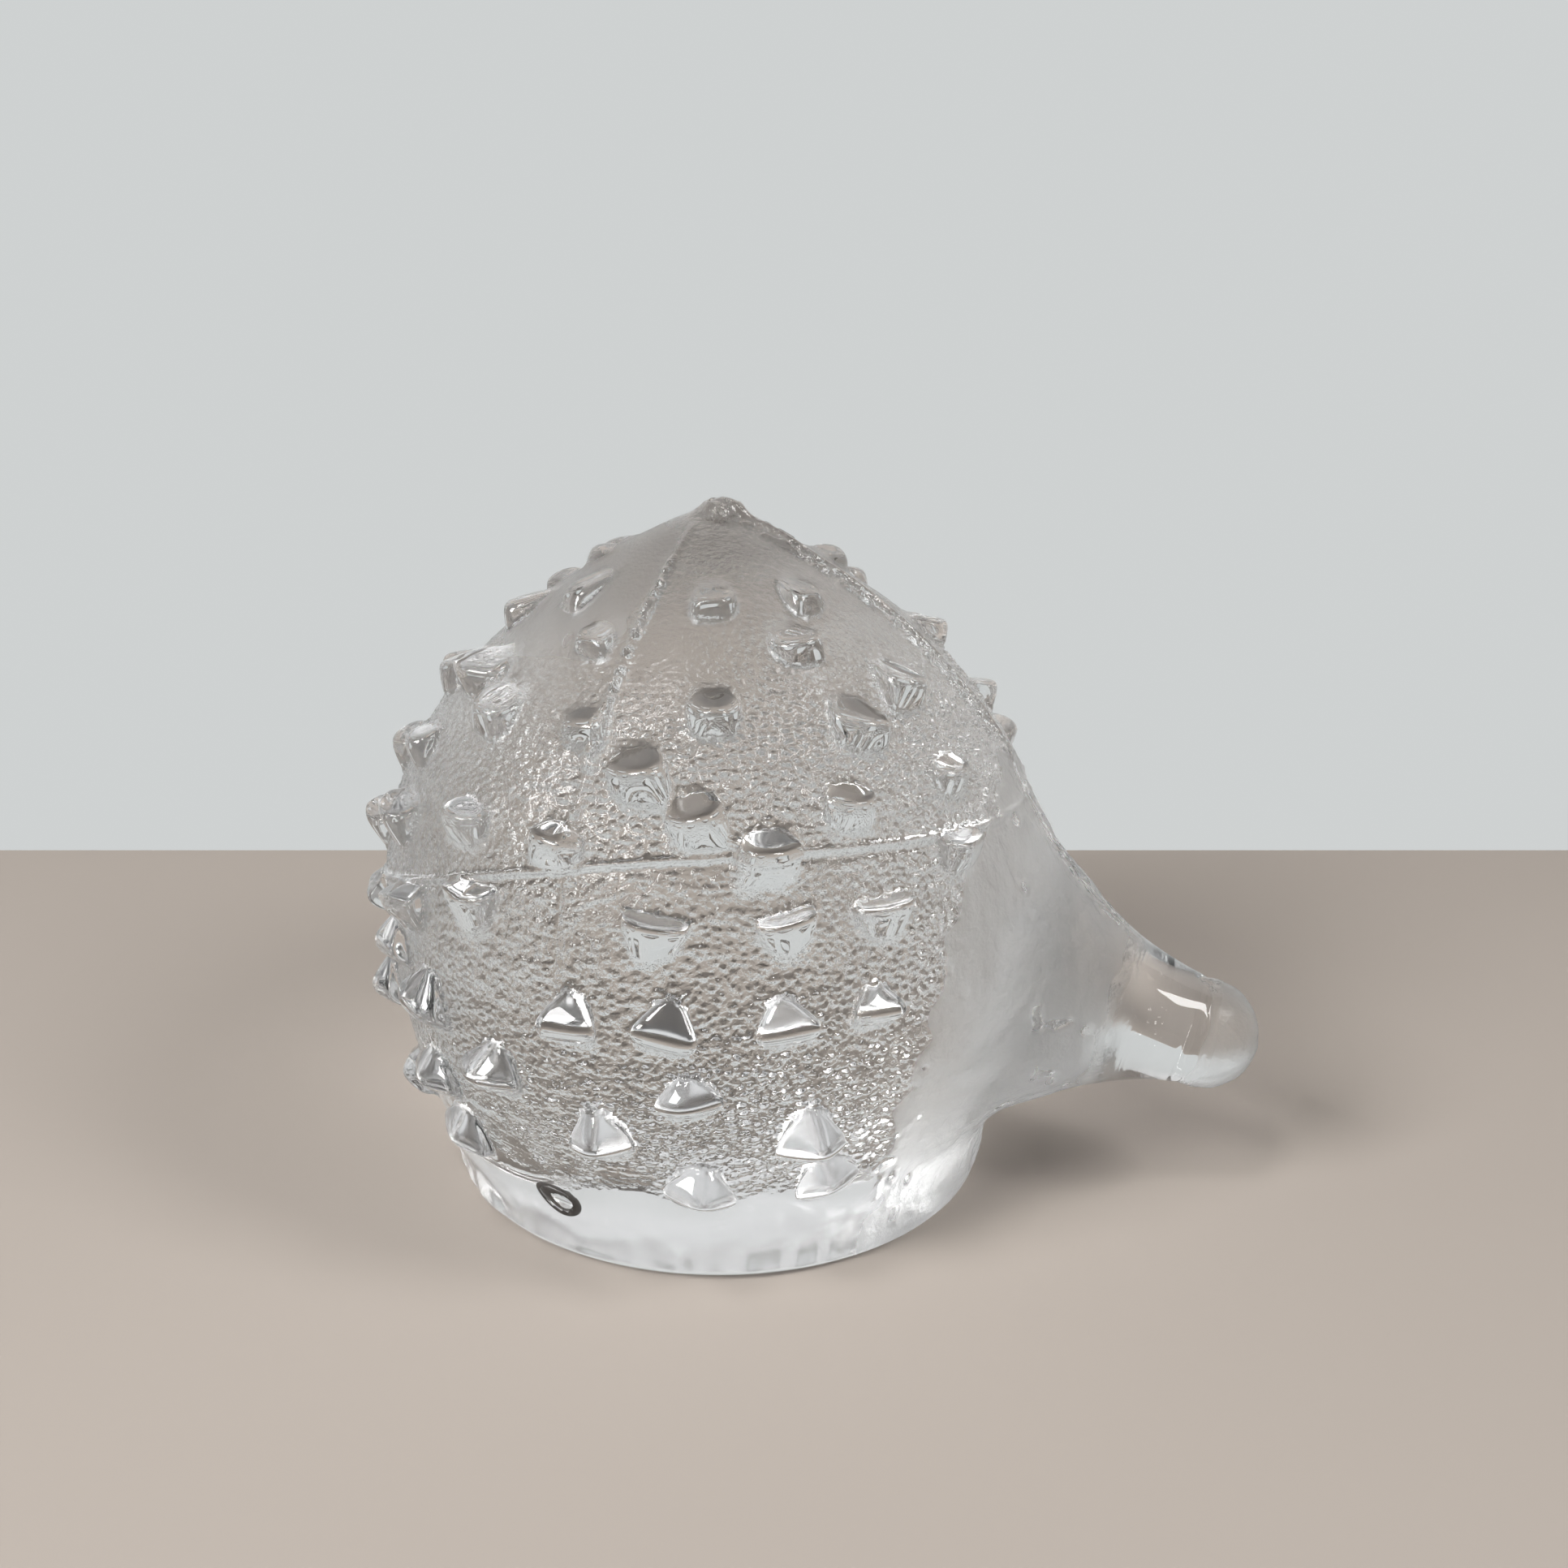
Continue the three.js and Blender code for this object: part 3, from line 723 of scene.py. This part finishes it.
def bubble_form():
    """The trapped bubble, whose faces look into its air, with a painted dark shade on the faces that stand
    side-on.
    """
    axis = BUBBLE_AXIS / np.linalg.norm(BUBBLE_AXIS)
    side = np.cross(axis, [0.0, 0.0, 1.0])
    side /= np.linalg.norm(side)
    lift = np.cross(side, axis)

    def lay(radius, along, turn):
        offset = radius * (math.cos(turn) * side + math.sin(turn) * lift)
        return tuple(BUBBLE_CENTRE + along * axis + offset)

    profile = []
    for turn in np.linspace(0.0, math.pi, BUBBLE_STEPS):
        taper = 1.0 + BUBBLE_TAPER * math.cos(turn)
        profile.append((BUBBLE_RADIUS * taper * math.sin(turn), BUBBLE_HALF_LENGTH * math.cos(turn)))
    profile[0] = (0.0, BUBBLE_HALF_LENGTH)
    profile[-1] = (0.0, -BUBBLE_HALF_LENGTH)
    bm = bmesh.new()
    lathe(bm, profile, lay, BUBBLE_SEGMENTS)
    bmesh.ops.recalc_face_normals(bm, faces=bm.faces)
    bmesh.ops.reverse_faces(bm, faces=bm.faces)
    for face in bm.faces:
        outward = np.array(face.calc_center_median()) - BUBBLE_CENTRE
        # Side-on faces take the second material, a painted dark shade for the rim
        side_on = abs(outward @ BUBBLE_OUTWARD) < PAINTED_RIM_SHADE_SHARE * BUBBLE_RADIUS
        face.material_index = int(side_on)
    mesh = bpy.data.meshes.new("bubble")
    bm.to_mesh(mesh)
    bm.free()
    return mesh


def glass_piece():
    """The whole hedgehog as one body of glass, with its bubble."""
    hulls = all_thorns()
    mesh = fused(rough_form(hulls))
    planes = [planes_of(hull, sharpness) for hull, sharpness in hulls]
    for hull, _ in hulls:
        hull.free()
    edges = np.empty(len(mesh.edges) * 2, np.int32)
    mesh.edges.foreach_get("vertices", edges)
    p = np.empty(len(mesh.vertices) * 3)
    mesh.vertices.foreach_get("co", p)
    p, normal = pulled_onto_form(p.reshape(-1, 3), edges.reshape(-1, 2), planes)
    height, roughness, grain = surface_detail(p)
    p = p + normal * height[:, None]
    mesh.vertices.foreach_set("co", p.ravel())

    bm = bmesh.new()
    bm.from_mesh(mesh)
    bm.from_mesh(bubble_form())
    bmesh.ops.scale(bm, vec=(MM, MM, MM), verts=bm.verts)
    bm.to_mesh(mesh)
    bm.free()
    for name, values in (("roughness", roughness), ("grain", grain)):
        filled = np.zeros(len(mesh.vertices), np.float32)
        filled[: len(values)] = values
        mesh.attributes.new(name, "FLOAT", "POINT").data.foreach_set("value", filled)
    mesh.shade_smooth()
    piece = bpy.data.objects.new("hedgehog_glass", mesh)
    bpy.context.scene.collection.objects.link(piece)
    return piece


def glass_material():
    """Clear glass, polished on thorns, snout and foot, and hazier where the mould's grain is."""
    material = bpy.data.materials.new("clear_glass")
    material.use_nodes = True
    nodes = material.node_tree.nodes
    links = material.node_tree.links
    shader = nodes["Principled BSDF"]
    shader.inputs["Base Color"].default_value = GLASS_COLOUR
    shader.inputs["IOR"].default_value = GLASS_IOR
    shader.inputs["Transmission Weight"].default_value = 1.0
    roughness = nodes.new("ShaderNodeAttribute")
    roughness.attribute_name = "roughness"
    links.new(roughness.outputs["Fac"], shader.inputs["Roughness"])
    place = nodes.new("ShaderNodeTexCoord")
    noise = nodes.new("ShaderNodeTexNoise")
    noise.inputs["Scale"].default_value = FINE_GRAIN_SCALE
    noise.inputs["Detail"].default_value = FINE_GRAIN_DETAIL
    links.new(place.outputs["Object"], noise.inputs["Vector"])
    grain = nodes.new("ShaderNodeAttribute")
    grain.attribute_name = "grain"
    bump = nodes.new("ShaderNodeBump")
    bump.inputs["Distance"].default_value = FINE_GRAIN_DEPTH
    links.new(grain.outputs["Fac"], bump.inputs["Strength"])
    links.new(noise.outputs["Fac"], bump.inputs["Height"])
    links.new(bump.outputs["Normal"], shader.inputs["Normal"])
    return material


def make_camera():
    """A camera at the photograph's viewing angle."""
    data = bpy.data.cameras.new("camera")
    data.sensor_width = SENSOR_WIDTH
    data.lens = SENSOR_WIDTH * FOCAL_PIXELS / FRAME_PIXELS
    data.clip_start = CAMERA_CLIP_START
    camera = bpy.data.objects.new("camera", data)
    bpy.context.scene.collection.objects.link(camera)
    camera.location = CAMERA_PLACE
    camera.rotation_euler = (math.radians(90.0 - CAMERA_PITCH), 0.0, math.radians(CAMERA_AZIMUTH))
    bpy.context.scene.camera = camera


def plain_material(name, colour, roughness):
    """An even matt surface with a faint mottle."""
    material = bpy.data.materials.new(name)
    material.use_nodes = True
    nodes = material.node_tree.nodes
    links = material.node_tree.links
    shader = nodes["Principled BSDF"]
    shader.inputs["Roughness"].default_value = roughness
    mottle = nodes.new("ShaderNodeTexNoise")
    mottle.inputs["Scale"].default_value = MOTTLE_SCALE
    tint = nodes.new("ShaderNodeMixRGB")
    tint.blend_type = "MULTIPLY"
    tint.inputs["Fac"].default_value = MOTTLE_SHARE
    tint.inputs["Color1"].default_value = colour
    links.new(mottle.outputs["Fac"], tint.inputs["Color2"])
    links.new(tint.outputs["Color"], shader.inputs["Base Color"])
    return material


def backdrop_material(name):
    """A matt wall that shows its shades straight on, in reflections and through glass.

    Its glow carries a painted shade below the table and a painted brighter light high up.
    """
    material = plain_material(name, WALL_COLOUR, WALL_ROUGHNESS)
    nodes = material.node_tree.nodes
    links = material.node_tree.links
    path = nodes.new("ShaderNodeLightPath")
    seen = path.outputs["Is Camera Ray"]
    for ray in ("Is Glossy Ray", "Is Transmission Ray"):
        either = nodes.new("ShaderNodeMath")
        either.operation = "MAXIMUM"
        links.new(seen, either.inputs[0])
        links.new(path.outputs[ray], either.inputs[1])
        seen = either.outputs[0]
    place = nodes.new("ShaderNodeTexCoord")
    parts = nodes.new("ShaderNodeSeparateXYZ")
    links.new(place.outputs["Object"], parts.inputs["Vector"])
    climb = nodes.new("ShaderNodeMapRange")
    climb.inputs["From Min"].default_value = WALL_LOW
    climb.inputs["From Max"].default_value = WALL_HIGH
    links.new(parts.outputs["Z"], climb.inputs["Value"])
    # Painted light and shade on the glow: dark below the table, brighter high up
    shade = nodes.new("ShaderNodeValToRGB")
    stops = shade.color_ramp.elements
    for height, colour in WALL_SHADES:
        stops.new((height - WALL_LOW) / (WALL_HIGH - WALL_LOW)).color = colour
    stops.remove(stops[-1])
    stops.remove(stops[0])
    links.new(climb.outputs["Result"], shade.inputs["Fac"])
    glow = nodes.new("ShaderNodeEmission")
    links.new(shade.outputs["Color"], glow.inputs["Color"])
    choice = nodes.new("ShaderNodeMixShader")
    links.new(seen, choice.inputs["Fac"])
    links.new(nodes["Principled BSDF"].outputs["BSDF"], choice.inputs[1])
    links.new(glow.outputs["Emission"], choice.inputs[2])
    links.new(choice.outputs["Shader"], nodes["Material Output"].inputs["Surface"])
    return material


def stage_sheet(name, corners, material):
    """A four-cornered sheet of the stage, from (across, away, up) corners as the camera faces them."""
    turn = math.radians(CAMERA_AZIMUTH)
    points = []
    for across, away, up in corners:
        x = across * math.cos(turn) - away * math.sin(turn)
        y = across * math.sin(turn) + away * math.cos(turn)
        points.append((x, y, up))
    mesh = bpy.data.meshes.new(name)
    mesh.from_pydata(points, [], [(0, 1, 2, 3)])
    mesh.materials.append(material)
    sheet = bpy.data.objects.new(name, mesh)
    bpy.context.scene.collection.objects.link(sheet)


def make_stage():
    """Table top and wall."""
    w = TABLE_HALF_WIDTH
    front = [(-w, TABLE_FRONT, TABLE_TOP), (w, TABLE_FRONT, TABLE_TOP)]
    back = [(w, TABLE_BACK, TABLE_TOP), (-w, TABLE_BACK, TABLE_TOP)]
    stage_sheet("floor", front + back, plain_material("pale_table", TABLE_COLOUR, TABLE_ROUGHNESS))
    low = [(-WALL_HALF_WIDTH, WALL_BACK, WALL_LOW), (WALL_HALF_WIDTH, WALL_BACK, WALL_LOW)]
    high = [(WALL_HALF_WIDTH, WALL_BACK, WALL_HIGH), (-WALL_HALF_WIDTH, WALL_BACK, WALL_HIGH)]
    stage_sheet("wall", low + high, backdrop_material("pale_wall"))


def area_light(name, place, size, power):
    """A soft lamp that shines from a place towards the middle of the glass."""
    lamp = bpy.data.lights.new(name, "AREA")
    lamp.shape = "RECTANGLE"
    lamp.size, lamp.size_y = size
    lamp.energy = power
    light = bpy.data.objects.new(name, lamp)
    bpy.context.scene.collection.objects.link(light)
    light.location = place
    aim = Vector(LAMP_AIM) - Vector(place)
    light.rotation_euler = aim.to_track_quat("-Z", "Y").to_euler()


def make_lights():
    """Soft studio light: a key lamp to the left, two small lamps for highlights, and a dim room."""
    for lamp in LAMPS:
        area_light(*lamp)
    world = bpy.data.worlds.new("room")
    world.use_nodes = True
    background = world.node_tree.nodes["Background"]
    background.inputs["Color"].default_value = ROOM_COLOUR
    bpy.context.scene.world = world


bpy.context.scene.view_settings.view_transform = "Standard"
make_camera()
glass = glass_piece()
glass.data.materials.append(glass_material())
# Painted shade for the bubble's dark rim, on its side-on faces
glass.data.materials.append(plain_material("bubble_rim_painted_shade", PAINTED_RIM_SHADE_COLOUR, PAINTED_RIM_SHADE_ROUGHNESS))
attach(glass, "root")
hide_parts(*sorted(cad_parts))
make_stage()
make_lights()
